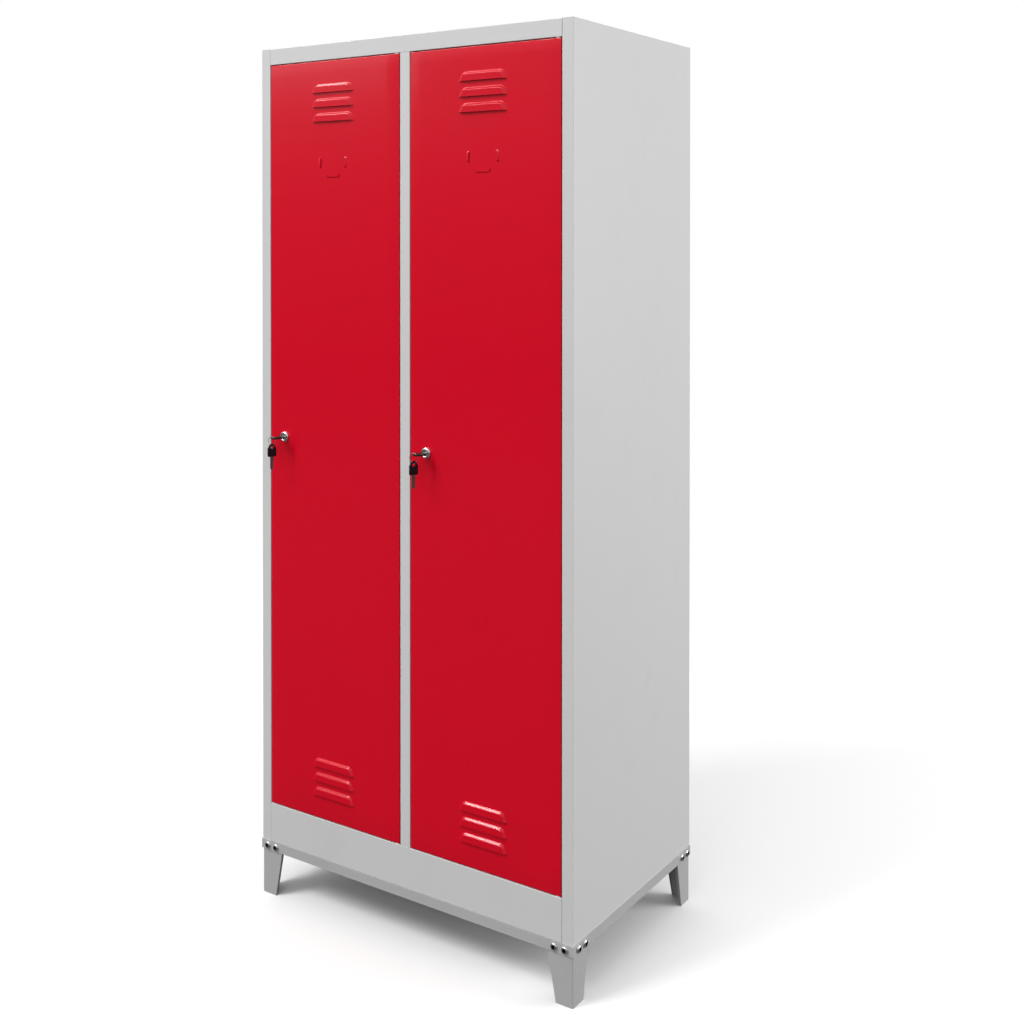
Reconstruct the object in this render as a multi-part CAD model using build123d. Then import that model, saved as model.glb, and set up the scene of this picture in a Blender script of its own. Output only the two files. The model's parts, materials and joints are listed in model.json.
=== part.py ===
from build123d import *
import math
import os

# Changing room locker with two full-height compartments, in millimetres.
# Z = 0 is the floor. X = 0 and Y = 0 are the middle of everything that stands on it, keys
# included. The doors face -Y. Both doors hinge on their right edge and lock on their left.

# Body of folded sheet
body_width = 800.0
body_depth = 500.0
body_height = 1750.0
base_height = 118.0
sheet = 0.8
bend_radius = 1.2
stile_width = 25.0
post_width = 25.0
top_rail_height = 35.0
bottom_rail_height = 85.0
edge_return = 20.0
seam_flange = 15.0
seam_gap = 0.4
stop_lip_height = 10.0
stop_lip_hinge_clear = 40.0

# Doors
door_gap = 2.0
door_depth = 18.0
door_hem = 12.0
stiffener_width = 40.0
stiffener_depth = 15.0
stiffener_flange = 12.0
stiffener_end_clear = 30.0

# Louvres pressed out of the doors, open along their lower edge
louvre_count = 3
louvre_width = 115.0
louvre_crown_width = 98.0
louvre_height = 18.5
louvre_pitch = 31.0
louvre_depth = 5.0
louvre_corner = 7.0
louvre_edge = 1.6
louvre_margin = 49.0
press_draft_angle = 45.0

# Card holder: two upright lugs and one sill, lanced out of the door
card_width = 66.0
card_sill_below_top = 279.0
card_lug_rise = 12.0
card_lug_length = 24.0
card_lug_crown = 20.0
card_lug_width = 6.0
card_sill_length = 40.0
card_sill_crown = 34.0
card_sill_width = 8.0
card_lance_depth = 1.8
card_lance_corner = 1.5
card_lance_edge = 0.6

# Pivots at the top and bottom of each door's right edge
pivot_inset = 8.0
pivot_setback = 5.0
pivot_radius = 2.5
pivot_reach = 7.0
pivot_head_radius = 3.9
pivot_head_height = 2.0
pivot_running_gap = 0.05
bush_wall = 1.5
bush_collar_radius = 4.8
bush_below = 5.0
bush_seat_gap = 0.1
moving_gap = 0.3
pivot_block_width = 14.0
pivot_block_depth = 13.0
pivot_block_height = 12.0

# Door stops and rubber buffers
buffer_radius = 4.5
buffer_side_margin = 30.0
stop_bracket_width = 24.0
stop_bracket_height = 14.0
stop_bracket_foot = 16.0
stop_bracket_thickness = 1.5

# Cam lock
lock_backset = 41.0
lock_height = 900.0
bezel_radius = 11.5
bezel_proud = 6.0
bezel_edge = 1.5
barrel_radius = 9.0
barrel_length = 19.2
lock_hole_gap = 0.2
lock_nut_flats = 22.0
lock_nut_thickness = 4.0
plug_radius = 6.5
plug_running_gap = 0.05
plug_recess = 0.5
cam_thickness = 2.0
cam_clear = 1.0
cam_hub_radius = 8.0
cam_arm_width = 14.0
cam_arm_length = 50.0
cam_square = 6.0
cam_square_gap = 0.05
cam_screw_radius = 2.0
cam_screw_head_radius = 5.0
cam_screw_head_height = 2.5
cam_screw_length = 8.0

# Keys: one in the lock, its spare on the ring
key_blade_width = 8.0
key_blade_thickness = 1.8
key_blade_in_plug = 20.0
key_neck = 8.0
key_fit_gap = 0.15
key_tang = 9.0
key_tang_gap = 0.05
key_notch_pitch = 4.0
key_notch_width = 2.0
key_notch_depths = (1.6, 0.8, 2.0, 1.2)
bow_width = 20.0
bow_length = 28.0
bow_thickness = 3.0
bow_corner = 2.5
bow_head_radius = 7.5
bow_hole_radius = 3.5
spare_key_yaw_angle = 22.0
ring_radius = 10.0
ring_wire_radius = 0.6

# Inside each compartment
shelf_below_opening = 300.0
shelf_setback = 30.0
shelf_front_height = 25.0
shelf_front_return = 10.0
rail_radius = 10.0
rail_wall = 1.2
rail_drop = 55.0
rail_socket_radius = 19.0
rail_socket_flange = 1.5
rail_socket_cup_radius = 13.0
rail_socket_cup_depth = 12.0
rail_socket_gap = 0.2
hook_width = 18.0
hook_thickness = 2.0
hook_plate_height = 45.0
hook_reach = 28.0
hook_tip_height = 18.0
hook_drop = 130.0
hook_from_back = 110.0

# Base frame of angle bar, and four tapered legs bolted inside it
base_overhang = 1.5
angle_height = 20.0
angle_flange = 20.0
angle_thickness = 2.0
leg_thickness = 2.0
leg_top_width = 60.0
leg_foot_width = 38.0
leg_lip = 6.5
leg_bend_radius = 3.0

# M8 leg bolts, M6 screws under the body and the rivets of the back panel
leg_bolt_radius = 4.0
leg_bolt_first = 17.0
leg_bolt_spacing = 24.0
leg_bolt_head_radius = 7.5
leg_bolt_head_height = 4.4
leg_bolt_head_edge = 2.2
leg_bolt_socket_flats = 5.0
leg_bolt_socket_depth = 2.6
leg_bolt_grip = 12.0
leg_nut_flats = 13.0
leg_nut_thickness = 6.5
base_screw_radius = 3.0
base_screw_head_radius = 5.0
base_screw_head_height = 3.0
base_screw_tail = 7.0
base_screw_end_margin = 110.0
side_screw_count = 3
base_nut_flats = 10.0
base_nut_thickness = 5.0
bolt_hole_gap = 0.25
thread_gap = 0.05
rivet_radius = 1.6
rivet_hole_gap = 0.05
rivet_head_radius = 3.4
rivet_head_height = 1.1
rivet_tail_radius = 2.4
rivet_tail_height = 1.4
rivet_end_margin = 60.0
side_rivet_count = 8
row_rivet_count = 4

overrun = 1.0

# Worked out from the sizes above
half_width = body_width / 2
body_z = base_height
top_z = base_height + body_height
floor_z = body_z + bottom_rail_height
opening_top_z = top_z - top_rail_height
opening_width = (body_width - 2 * stile_width - post_width) / 2
door_z0 = floor_z + door_gap
door_z1 = opening_top_z - door_gap
sill_z = top_z - card_sill_below_top
lock_z = body_z + lock_height
shelf_z = opening_top_z - shelf_below_opening
bow_reach = bow_length - bow_head_radius
bow_hole_reach = bezel_proud - plug_recess + key_neck + bow_reach
spare_key_yaw = math.radians(spare_key_yaw_angle)
spare_key_reach = (bow_width * math.cos(spare_key_yaw) + bow_thickness * math.sin(spare_key_yaw)) / 2
front_reach = bow_hole_reach + spare_key_reach
rear_reach = base_overhang + leg_bolt_head_height
front_y = front_reach - (front_reach + body_depth + rear_reach) / 2
back_y = front_y + body_depth
door_back_y = front_y + door_depth
cam_y = front_y + edge_return + cam_clear
ring_offset = ring_radius / math.sqrt(2)
ring_bottom = ring_offset + ring_radius
spare_hole_drop = ring_bottom + bow_hole_radius - ring_wire_radius - moving_gap
angle_z0 = body_z - angle_height
leg_height = body_z - angle_thickness
leg_inset = angle_thickness - base_overhang
leg_bolt_z = body_z - angle_height / 2
openings = {"left": -half_width + stile_width, "right": post_width / 2}


def block(x0, x1, y0, y1, z0, z1):
    centre = Pos((x0 + x1) / 2, (y0 + y1) / 2, (z0 + z1) / 2)
    return centre * Box(abs(x1 - x0), abs(y1 - y0), abs(z1 - z0))


# A block whose two front edges along the given axis are bends of the sheet.
def bent_block(along, x0, x1, y0, y1, z0, z1):
    solid = block(x0, x1, y0, y1, z0, z1)
    return fillet(solid.edges().filter_by(along).sort_by(Axis.Y)[:2], bend_radius)


def rod(start, direction, radius, length):
    upright = Cylinder(radius, length, align=(Align.CENTER, Align.CENTER, Align.MIN))
    return Plane(origin=start, z_dir=direction) * upright


def hexagon_bar(start, direction, flats, length):
    outline = RegularPolygon(flats / 2, 6, major_radius=False)
    return Plane(origin=start, z_dir=direction) * extrude(outline, length)


def each_along(first, last, count):
    return [first + (last - first) * i / (count - 1) for i in range(count)]


# Rivets join the back panel to the flanges of the other sheets: both sides, the top, the
# compartment floor and the partition.
def rivet_places():
    side_x = half_width - seam_flange / 2
    heights = each_along(body_z + rivet_end_margin, top_z - rivet_end_margin, side_rivet_count)
    row_end = half_width - 2 * rivet_end_margin
    row_x = each_along(-row_end, row_end, row_rivet_count)
    places = [(x, z) for x in (-side_x, side_x) for z in heights]
    places += [(x, z) for x in row_x for z in (top_z - seam_flange / 2, floor_z - seam_flange / 2)]
    places += [(seam_flange / 2, z) for z in heights[1:-1]]
    return places


def rivet_holes():
    radius = rivet_radius + rivet_hole_gap
    depth = 2 * sheet + 2 * overrun
    return [rod((x, back_y + overrun, z), (0, -1, 0), radius, depth) for x, z in rivet_places()]


def back_rivets():
    rivets = []
    for x, z in rivet_places():
        rivet = rod((x, back_y, z), (0, 1, 0), rivet_head_radius, rivet_head_height)
        rivet += rod((x, back_y, z), (0, -1, 0), rivet_radius, 2 * sheet)
        rivet += rod((x, back_y - 2 * sheet, z), (0, -1, 0), rivet_tail_radius, rivet_tail_height)
        rivets.append(rivet)
    return Compound(rivets)


# Screws hold the body's lowest flanges down on the base frame: two at the front and a row a side.
def base_screw_places():
    across = half_width - stile_width - base_screw_end_margin
    side_x = half_width - angle_flange / 2
    front_row_y = front_y + edge_return / 2
    first_y, last_y = front_y + base_screw_end_margin, back_y - base_screw_end_margin
    side_y = each_along(first_y, last_y, side_screw_count)
    places = [(x, front_row_y) for x in (-across, across)]
    return places + [(x, y) for x in (-side_x, side_x) for y in side_y]


def base_screw_holes():
    radius = base_screw_radius + bolt_hole_gap
    depth = angle_thickness + sheet + 2 * overrun
    bottom = body_z - angle_thickness - overrun
    return [rod((x, y, bottom), (0, 0, 1), radius, depth) for x, y in base_screw_places()]


def base_screws():
    screws = []
    for x, y in base_screw_places():
        under = body_z - angle_thickness
        shank = angle_thickness + base_screw_tail
        screw = rod((x, y, under), (0, 0, -1), base_screw_head_radius, base_screw_head_height)
        screws.append(screw + rod((x, y, under), (0, 0, 1), base_screw_radius, shank))
    return Compound(screws)


def base_nuts():
    nuts = []
    for x, y in base_screw_places():
        nut = hexagon_bar((x, y, body_z + sheet), (0, 0, 1), base_nut_flats, base_nut_thickness)
        depth = base_nut_thickness + 2 * overrun
        nuts.append(nut - rod((x, y, body_z), (0, 0, 1), base_screw_radius + thread_gap, depth))
    return Compound(nuts)


# A side panel is one sheet: the wall, the stile beside the door with its turned-in edge, a
# rear flange for the back panel and a bottom flange that sits on the base frame.
def side_panel(side):
    outer = side * half_width
    stile_edge = side * (half_width - stile_width)
    rear_flange = side * (half_width - seam_flange)
    foot_flange = side * (half_width - angle_flange)
    wall, turned_edge = outer - side * sheet, stile_edge + side * sheet
    turn_y = front_y + edge_return
    inside_y = (front_y + sheet, turn_y + overrun)
    panel = bent_block(Axis.Z, outer, stile_edge, front_y, turn_y, body_z, top_z)
    panel -= block(wall, turned_edge, *inside_y, body_z, top_z)
    panel -= block(wall, stile_edge, *inside_y, body_z, body_z + sheet)
    panel -= block(wall, stile_edge, *inside_y, top_z - sheet, top_z)
    panel += block(outer, wall, turn_y, back_y, body_z, top_z)
    panel += block(outer, rear_flange, back_y - 2 * sheet, back_y - sheet, body_z + sheet, top_z - sheet)
    panel += block(outer, foot_flange, turn_y, back_y - sheet, body_z, body_z + sheet)
    return panel - rivet_holes() - base_screw_holes()


def back_panel():
    wide = half_width - sheet
    return block(-wide, wide, back_y - sheet, back_y, body_z, top_z) - rivet_holes()


def pivot_place(side):
    return openings[side] + opening_width - door_gap - pivot_inset, front_y + pivot_setback


# Seats for the pivot bushes, in the sheet above or below each door.
def bush_holes(z):
    radius = pivot_radius + pivot_running_gap + bush_wall
    depth = sheet + 2 * overrun
    return [rod((*pivot_place(side), z - overrun), (0, 0, 1), radius, depth) for side in openings]


# The top sheet folds down into the top rail, back under it, and down again as a door stop
# that leaves the hinge side free.
def top_panel():
    wide = half_width - sheet
    between = half_width - stile_width
    ends = between - seam_gap
    turn_y = front_y + edge_return
    panel = bent_block(Axis.X, -ends, ends, front_y, turn_y, opening_top_z, top_z)
    panel -= block(-ends, ends, front_y + sheet, turn_y, opening_top_z + sheet, top_z - sheet)
    panel += block(-wide, wide, turn_y, back_y - sheet, top_z - sheet, top_z)
    for side in (-1, 1):
        panel += block(side * ends, side * wide, front_y + sheet + seam_gap, turn_y, top_z - sheet, top_z)
    stop_y = front_y + edge_return - sheet
    lip_z = opening_top_z - stop_lip_height
    for start in openings.values():
        end = start + opening_width - stop_lip_hinge_clear
        panel += block(start, end, stop_y, stop_y + sheet, lip_z, opening_top_z + sheet)
    rear = half_width - seam_flange
    panel += block(-rear, rear, back_y - 2 * sheet, back_y - sheet, top_z - seam_flange, top_z)
    return panel - rivet_holes() - bush_holes(opening_top_z)


# The compartment floor folds down into the bottom rail and back over the base frame.
def bottom_panel():
    wide = half_width - sheet
    between = half_width - stile_width
    ends = between - seam_gap
    turn_y = front_y + edge_return
    panel = bent_block(Axis.X, -ends, ends, front_y, turn_y, body_z, floor_z)
    panel -= block(-ends, ends, front_y + sheet, turn_y, body_z + sheet, floor_z - sheet)
    panel += block(-wide, wide, turn_y, back_y - 2 * sheet, floor_z - sheet, floor_z)
    rear = half_width - seam_flange
    panel += block(-rear, rear, back_y - 2 * sheet, back_y - sheet, floor_z - seam_flange, floor_z)
    return panel - rivet_holes() - bush_holes(floor_z - sheet) - base_screw_holes()


def centre_post():
    half = post_width / 2
    post = bent_block(Axis.Z, -half, half, front_y, front_y + edge_return, floor_z, opening_top_z)
    hollow = half - sheet
    inside_y = (front_y + sheet, front_y + edge_return + overrun)
    return post - block(-hollow, hollow, *inside_y, floor_z, opening_top_z)


# The partition stands behind the post and turns along the back panel.
def centre_partition():
    half = sheet / 2
    behind_post = front_y + edge_return
    wall = block(-half, half, front_y + sheet, behind_post, floor_z, opening_top_z)
    wall += block(-half, half, behind_post, back_y - 2 * sheet, floor_z, top_z - sheet)
    wall += block(-half, seam_flange, back_y - 2 * sheet, back_y - sheet, floor_z, top_z - seam_flange)
    return wall - rivet_holes()


# Inner walls of a compartment, from left to right.
def compartment(side):
    outer = half_width - sheet
    inner = sheet / 2
    return (-outer, -inner) if side == "left" else (inner, outer)


def hat_shelf(side):
    x0, x1 = compartment(side)
    y0, y1 = front_y + shelf_setback, back_y - 2 * sheet
    shelf = block(x0, x1, y0, y1, shelf_z - sheet, shelf_z)
    shelf += block(x0, x1, y0, y0 + sheet, shelf_z - shelf_front_height, shelf_z)
    hem_z = shelf_z - shelf_front_height
    shelf += block(x0, x1, y0, y0 + shelf_front_return, hem_z, hem_z + sheet)
    shelf += block(x0, x1, y1 - sheet, y1, shelf_z - seam_flange, shelf_z)
    for x in (x0, x1 - sheet):
        shelf += block(x, x + sheet, y0, y1, shelf_z - seam_flange, shelf_z)
    return shelf


def rail_centre():
    return front_y + body_depth / 2, shelf_z - rail_drop


def coat_rail(side):
    x0, x1 = compartment(side)
    y, z = rail_centre()
    length = x1 - x0 - 2 * rail_socket_flange
    start = (x0 + rail_socket_flange, y, z)
    tube = rod(start, (1, 0, 0), rail_radius, length)
    bore_start = (start[0] - overrun, y, z)
    return tube - rod(bore_start, (1, 0, 0), rail_radius - rail_wall, length + 2 * overrun)


def rail_sockets():
    y, z = rail_centre()
    sockets = []
    for side in openings:
        x0, x1 = compartment(side)
        for x, inward in ((x0, 1), (x1, -1)):
            wall, way = (x, y, z), (inward, 0, 0)
            socket = rod(wall, way, rail_socket_radius, rail_socket_flange)
            socket += rod(wall, way, rail_socket_cup_radius, rail_socket_cup_depth)
            seat = (x + inward * rail_socket_flange, y, z)
            socket -= rod(seat, way, rail_radius + rail_socket_gap, rail_socket_cup_depth)
            sockets.append(socket)
    return Compound(sockets)


# Strip hooks, one on each wall of a compartment: a plate, an arm and an upturned tip.
def coat_hooks():
    y0 = back_y - hook_from_back - hook_width / 2
    y1 = y0 + hook_width
    top = shelf_z - hook_drop
    foot = top - hook_plate_height
    hooks = []
    for side in openings:
        x0, x1 = compartment(side)
        for x, inward in ((x0, 1), (x1, -1)):
            end = x + inward * hook_reach
            hook = block(x, x + inward * hook_thickness, y0, y1, foot, top)
            hook += block(x, end, y0, y1, foot, foot + hook_thickness)
            hook += block(end - inward * hook_thickness, end, y0, y1, foot, foot + hook_tip_height)
            hooks.append(hook)
    return Compound(hooks)


# Where each leg bolt enters the frame, and its direction: two through each face of each leg.
def leg_bolt_places():
    places = []
    outer_x = half_width + base_overhang
    for offset in (leg_bolt_first, leg_bolt_first + leg_bolt_spacing):
        for sx in (-1, 1):
            for face_y, inward in ((front_y - base_overhang, 1), (back_y + base_overhang, -1)):
                across = sx * (half_width - offset)
                along = (front_y + offset) if inward > 0 else (back_y - offset)
                places.append(((across, face_y, leg_bolt_z), (0, inward, 0)))
                places.append(((sx * outer_x, along, leg_bolt_z), (-sx, 0, 0)))
    return places


def leg_bolt_holes():
    radius = leg_bolt_radius + bolt_hole_gap
    depth = angle_thickness + leg_thickness + 2 * overrun
    holes = []
    for place, way in leg_bolt_places():
        start = Vector(*place) - Vector(*way) * overrun
        holes.append(rod(tuple(start), way, radius, depth))
    return holes


# The base frame's front and rear bars run the whole width and its side bars fit between them.
def cross_bar(end):
    wide = half_width + base_overhang
    outer = front_y - base_overhang if end < 0 else back_y + base_overhang
    bar = block(-wide, wide, outer, outer - end * angle_thickness, angle_z0, body_z)
    between = wide - angle_thickness
    bar += block(-between, between, outer, outer - end * angle_flange, body_z - angle_thickness, body_z)
    return bar - leg_bolt_holes() - base_screw_holes()


def side_bar(side):
    outer = side * (half_width + base_overhang)
    y0, y1 = front_y + leg_inset, back_y - leg_inset
    step = angle_flange - angle_thickness
    bar = block(outer, outer - side * angle_thickness, y0, y1, angle_z0, body_z)
    bar += block(outer, outer - side * angle_flange, y0 + step, y1 - step, body_z - angle_thickness, body_z)
    return bar - leg_bolt_holes() - base_screw_holes()


# A leg is a tapered angle pressed from sheet, with a lip turned in along both free edges.
# It is drawn for one corner and mirrored to the others by the signs sx and sy.
def leg(sx, sy):
    face = Polygon((0, 0), (leg_foot_width, 0), (leg_top_width, leg_height), (0, leg_height), align=None)
    edge = Polygon(
        (leg_foot_width - leg_thickness, 0),
        (leg_foot_width, 0),
        (leg_top_width, leg_height),
        (leg_top_width - leg_thickness, leg_height),
        align=None,
    )
    along_x = Plane(origin=(0, 0, 0), x_dir=(1, 0, 0), z_dir=(0, -1, 0))
    along_y = Plane(origin=(0, 0, 0), x_dir=(0, 1, 0), z_dir=(1, 0, 0))
    flanges = along_x * extrude(face, -leg_thickness)
    flanges += along_y * extrude(face, leg_thickness)
    flanges += along_x * extrude(edge, -leg_lip)
    flanges += along_y * extrude(edge, leg_lip)
    corner = min(flanges.edges().filter_by(Axis.Z), key=lambda e: e.center().X + e.center().Y)
    flanges = fillet(corner, leg_bend_radius)
    if sx > 0:
        flanges = mirror(flanges, Plane.YZ)
    if sy > 0:
        flanges = mirror(flanges, Plane.XZ)
    corner_y = front_y + leg_inset if sy < 0 else back_y - leg_inset
    return Pos(sx * (half_width - leg_inset), corner_y, 0) * flanges - leg_bolt_holes()


def leg_bolts():
    bolts = []
    for place, way in leg_bolt_places():
        out = Vector(*way) * -1
        head = rod(place, tuple(out), leg_bolt_head_radius, leg_bolt_head_height)
        rim = head.edges().filter_by(GeomType.CIRCLE).sort_by(Axis(place, tuple(out)))[-1]
        head = fillet(rim, leg_bolt_head_edge)
        crown = tuple(Vector(*place) + out * leg_bolt_head_height)
        head -= hexagon_bar(crown, way, leg_bolt_socket_flats, leg_bolt_socket_depth)
        bolts.append(head + rod(place, way, leg_bolt_radius, leg_bolt_grip))
    return Compound(bolts)


def leg_nuts():
    nuts = []
    for place, way in leg_bolt_places():
        seat = tuple(Vector(*place) + Vector(*way) * (angle_thickness + leg_thickness))
        nut = hexagon_bar(seat, way, leg_nut_flats, leg_nut_thickness)
        nuts.append(nut - rod(seat, way, leg_bolt_radius + thread_gap, leg_nut_thickness))
    return Compound(nuts)


def hinge_bushes():
    outer = pivot_radius + pivot_running_gap + bush_wall - bush_seat_gap
    collar = door_gap - moving_gap
    bushes = []
    for side in openings:
        x, y = pivot_place(side)
        for z, into in ((floor_z, -1), (opening_top_z, 1)):
            bush = rod((x, y, z), (0, 0, -into), bush_collar_radius, collar)
            bush += rod((x, y, z), (0, 0, into), outer, bush_below)
            bore = (x, y, z - into * (collar + overrun))
            depth = collar + bush_below + 2 * overrun
            bushes.append(bush - rod(bore, (0, 0, into), pivot_radius + pivot_running_gap, depth))
    return Compound(bushes)


# A bent bracket on the compartment floor stops the foot of each door at its lock side.
def door_stops():
    y0 = front_y + edge_return - sheet
    stops = []
    for start in openings.values():
        x0 = start + buffer_side_margin - stop_bracket_width / 2
        x1 = x0 + stop_bracket_width
        stop = block(x0, x1, y0, y0 + stop_bracket_thickness, floor_z, floor_z + stop_bracket_height)
        stop += block(x0, x1, y0, y0 + stop_bracket_foot, floor_z, floor_z + stop_bracket_thickness)
        stops.append(stop)
    return Compound(stops)


def door_buffers():
    stop_y = front_y + edge_return - sheet
    thickness = stop_y - door_back_y - moving_gap
    low_z = floor_z + stop_bracket_height - buffer_radius
    high_z = opening_top_z - stop_lip_height + buffer_radius
    buffers = []
    for start in openings.values():
        near = start + buffer_side_margin
        far = start + opening_width - stop_lip_hinge_clear - buffer_side_margin
        for x, z in ((near, low_z), (near, high_z), (far, high_z)):
            buffers.append(rod((x, stop_y, z), (0, -1, 0), buffer_radius, thickness))
    return Compound(buffers)


# A hood pressed out of sheet. Its open edge lies on the local X axis and it rises along Y.
def pressing(width, crown, height, depth, corner, edge):
    outline = Polygon(
        (-width / 2, 0),
        (-crown / 2, -height),
        (crown / 2, -height),
        (width / 2, 0),
        (crown / 2, height),
        (-crown / 2, height),
        align=None,
    )
    corners = [v for v in outline.vertices() if abs(v.Y) > height / 2]
    raised = extrude(fillet(corners, corner), depth, taper=press_draft_angle)
    raised = fillet(raised.faces().sort_by(Axis.Z)[-1].edges(), edge)
    return raised - block(-width, width, -2 * height, 0, -overrun, depth + overrun)


def press_out(panel, x, z, open_edge, hood):
    outward = (0, -1, 0)
    outer = Plane(origin=(x, front_y, z), x_dir=open_edge, z_dir=outward)
    inner = Plane(origin=(x, front_y + sheet, z), x_dir=open_edge, z_dir=outward)
    return panel + outer * hood - inner * hood


def louvre_heights():
    low = door_z0 + louvre_margin
    high = door_z1 - louvre_margin - louvre_height
    rows = [low + i * louvre_pitch for i in range(louvre_count)]
    return rows + [high - i * louvre_pitch for i in range(louvre_count)]


def door_edges(side):
    return openings[side] + door_gap, openings[side] + opening_width - door_gap


def lock_centre(side):
    return door_edges(side)[0] + lock_backset


# A door is a pan of one sheet, with its edges turned back and hemmed inwards.
def door_panel(side):
    x0, x1 = door_edges(side)
    middle = (x0 + x1) / 2
    inside_y = (front_y + sheet, door_back_y - sheet)
    panel = block(x0, x1, front_y, door_back_y, door_z0, door_z1)
    panel = fillet(panel.edges().filter_by(Axis.Y) + panel.faces().sort_by(Axis.Y)[0].edges(), bend_radius)
    panel -= block(x0 + sheet, x1 - sheet, *inside_y, door_z0 + sheet, door_z1 - sheet)
    mouth_y = (front_y + sheet, door_back_y + overrun)
    panel -= block(x0 + door_hem, x1 - door_hem, *mouth_y, door_z0 + door_hem, door_z1 - door_hem)
    hood = pressing(louvre_width, louvre_crown_width, louvre_height, louvre_depth, louvre_corner, louvre_edge)
    for z in louvre_heights():
        panel = press_out(panel, middle, z, (1, 0, 0), hood)
    lug_z = sill_z + card_lug_rise + card_lug_length / 2
    lance = (card_lance_depth, card_lance_corner, card_lance_edge)
    lug = pressing(card_lug_length, card_lug_crown, card_lug_width, *lance)
    sill = pressing(card_sill_length, card_sill_crown, card_sill_width, *lance)
    panel = press_out(panel, middle - card_width / 2, lug_z, (0, 0, 1), lug)
    panel = press_out(panel, middle + card_width / 2, lug_z, (0, 0, -1), lug)
    panel = press_out(panel, middle, sill_z, (-1, 0, 0), sill)
    lock_face = (lock_centre(side), front_y - overrun, lock_z)
    panel -= rod(lock_face, (0, 1, 0), barrel_radius + lock_hole_gap, sheet + 2 * overrun)
    x, y = pivot_place(side)
    through = sheet + 2 * overrun
    for z in (door_z0 - overrun, door_z1 - sheet - overrun):
        panel -= rod((x, y, z), (0, 0, 1), pivot_radius + pivot_running_gap, through)
    return panel


# A hat section welded up the inside of the door, between the louvres and the card holder.
def door_stiffener(side):
    x0, x1 = door_edges(side)
    middle = (x0 + x1) / 2
    y0 = front_y + sheet
    z0 = max(louvre_heights()[:louvre_count]) + louvre_height + stiffener_end_clear
    z1 = sill_z - card_sill_width - stiffener_end_clear
    half = stiffener_width / 2
    wide = half + stiffener_flange
    hollow = half - sheet
    inside_y = (y0 - overrun, y0 + stiffener_depth - sheet)
    hat = block(middle - half, middle + half, y0, y0 + stiffener_depth, z0, z1)
    hat -= block(middle - hollow, middle + hollow, *inside_y, z0 - overrun, z1 + overrun)
    for way in (-1, 1):
        hat += block(middle + way * hollow, middle + way * wide, y0, y0 + sheet, z0, z1)
    return hat


# Steel blocks in the hinge-side corners of the door carry the pivot pins.
def pivot_blocks(side):
    x1 = door_edges(side)[1] - sheet
    y0 = front_y + sheet
    x, y = pivot_place(side)
    depth = pivot_block_height + 2 * overrun
    blocks = []
    for z0 in (door_z0 + sheet, door_z1 - sheet - pivot_block_height):
        solid = block(x1 - pivot_block_width, x1, y0, y0 + pivot_block_depth, z0, z0 + pivot_block_height)
        blocks.append(solid - rod((x, y, z0 - overrun), (0, 0, 1), pivot_radius + thread_gap, depth))
    return Compound(blocks)


def pivot_pins(side):
    x, y = pivot_place(side)
    inside = sheet + pivot_block_height
    pins = []
    for z, outward in ((door_z0, -1), (door_z1, 1)):
        seat = (x, y, z - outward * inside)
        pin = rod(seat, (0, 0, -outward), pivot_head_radius, pivot_head_height)
        pins.append(pin + rod(seat, (0, 0, outward), pivot_radius, inside + pivot_reach))
    return Compound(pins)


def lock_housing(side):
    x = lock_centre(side)
    face = (x, front_y, lock_z)
    bezel = rod(face, (0, -1, 0), bezel_radius, bezel_proud)
    rim = bezel.edges().filter_by(GeomType.CIRCLE).sort_by(Axis.Y)[0]
    bezel = fillet(rim, bezel_edge)
    housing = bezel + rod(face, (0, 1, 0), barrel_radius, barrel_length)
    mouth = (x, front_y - bezel_proud - overrun, lock_z)
    depth = bezel_proud + barrel_length + 2 * overrun
    return housing - rod(mouth, (0, 1, 0), plug_radius + plug_running_gap, depth)


def lock_nut(side):
    seat = (lock_centre(side), front_y + sheet, lock_z)
    nut = hexagon_bar(seat, (0, 1, 0), lock_nut_flats, lock_nut_thickness)
    return nut - rod(seat, (0, 1, 0), barrel_radius + thread_gap, lock_nut_thickness)


# The plug holds the keyway in front and, on a square at its tail, the cam.
def lock_plug(side):
    x = lock_centre(side)
    mouth_y = front_y - bezel_proud + plug_recess
    plug = rod((x, mouth_y, lock_z), (0, 1, 0), plug_radius, cam_y - mouth_y)
    half = cam_square / 2
    plug += block(x - half, x + half, cam_y, cam_y + cam_thickness, lock_z - half, lock_z + half)
    slot_x = key_blade_width / 2 + key_fit_gap
    slot_z = key_blade_thickness / 2 + key_fit_gap
    slot_end = mouth_y + key_blade_in_plug + moving_gap
    plug -= block(x - slot_x, x + slot_x, mouth_y - overrun, slot_end, lock_z - slot_z, lock_z + slot_z)
    tail = (x, cam_y + cam_thickness, lock_z)
    return plug - rod(tail, (0, -1, 0), cam_screw_radius + thread_gap, cam_screw_length + moving_gap)


# The cam points up while the lock is open, and turns towards the door's free edge to lock.
def lock_cam(side):
    x = lock_centre(side)
    tip_z = lock_z + cam_arm_length - cam_arm_width / 2
    cam = rod((x, cam_y, lock_z), (0, 1, 0), cam_hub_radius, cam_thickness)
    half = cam_arm_width / 2
    cam += block(x - half, x + half, cam_y, cam_y + cam_thickness, lock_z, tip_z)
    cam += rod((x, cam_y, tip_z), (0, 1, 0), half, cam_thickness)
    hole = cam_square / 2 + cam_square_gap
    through = (cam_y - overrun, cam_y + cam_thickness + overrun)
    return cam - block(x - hole, x + hole, *through, lock_z - hole, lock_z + hole)


def cam_screw(side):
    seat = (lock_centre(side), cam_y + cam_thickness, lock_z)
    head = rod(seat, (0, 1, 0), cam_screw_head_radius, cam_screw_head_height)
    return head + rod(seat, (0, -1, 0), cam_screw_radius, cam_screw_length)


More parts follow.
